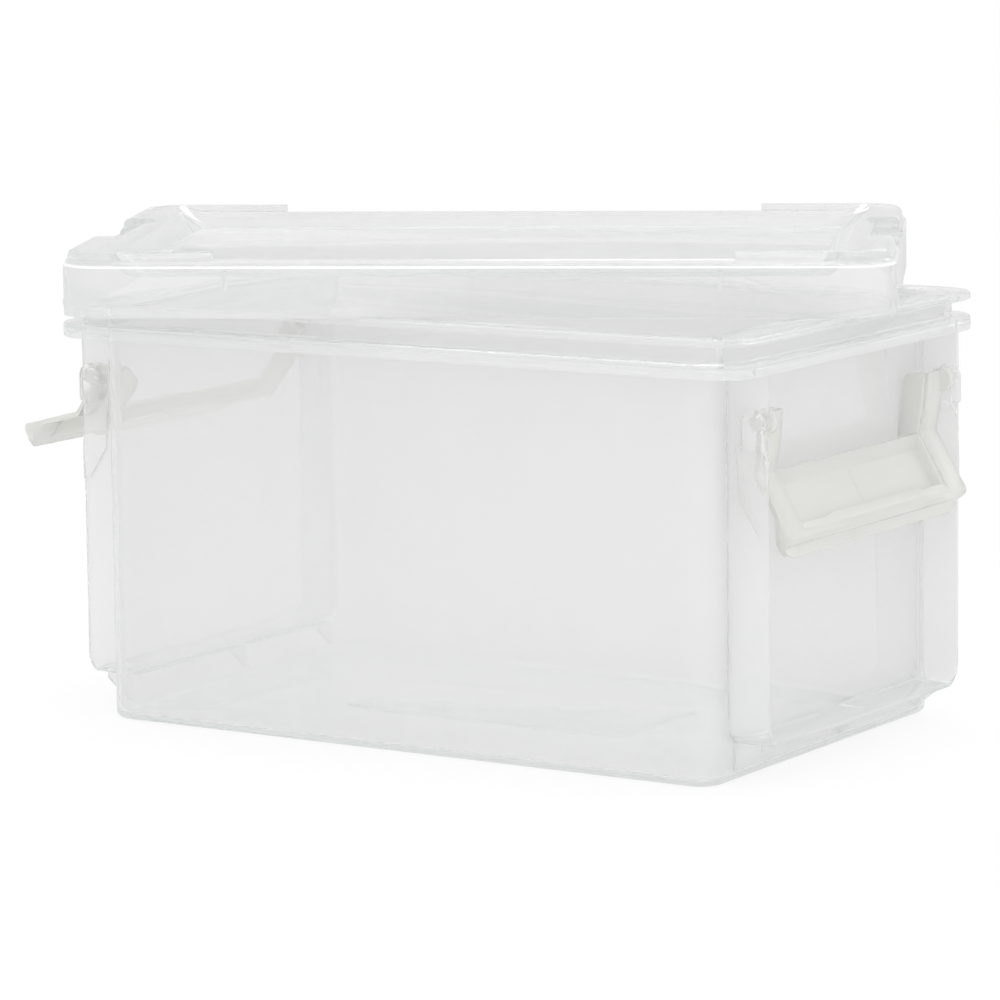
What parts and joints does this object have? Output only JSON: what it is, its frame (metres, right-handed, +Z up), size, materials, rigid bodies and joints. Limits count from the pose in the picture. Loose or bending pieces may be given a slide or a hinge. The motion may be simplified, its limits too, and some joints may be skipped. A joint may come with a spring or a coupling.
{
  "type": "photo keeper case",
  "caption": "Clear rectangular storage tub with a rolled rim, a loose lid lying askew on top and a swinging frosted latch at each end.",
  "frame": {"origin": "centre of the tub's flat bottom face", "axes": "+X along the tub's length towards the hanging latch, +Y across its width towards the back, +Z up"},
  "size_m": [0.3556, 0.3048, 0.1897],
  "materials": {
    "clear_tub": "clear gloss polypropylene",
    "clear_lid": "clear gloss polypropylene",
    "frosted_latch": "frosted natural polypropylene"
  },
  "bodies": {
    "tub_body": {"tub": "clear_tub"},
    "lid_body": {"lid": "clear_lid"},
    "latch_left_body": {"latch_left": "frosted_latch"},
    "latch_right_body": {"latch_right": "frosted_latch"}
  },
  "joints": [
    {"name": "lid_lift", "type": "slide", "parent": "tub_body", "child": "lid_body", "axis": [0, 0, 1], "range_m": [0, 0.12]},
    {"name": "latch_right_swing", "type": "hinge", "parent": "tub_body", "child": "latch_right_body", "pos_m": [0.1498, 0, 0.1331], "axis": [0, -1, 0], "range_deg": [0, 130]},
    {"name": "latch_left_swing", "type": "hinge", "parent": "tub_body", "child": "latch_left_body", "pos_m": [-0.1498, 0, 0.1331], "axis": [0, 1, 0], "range_deg": [-45, 55]}
  ]
}
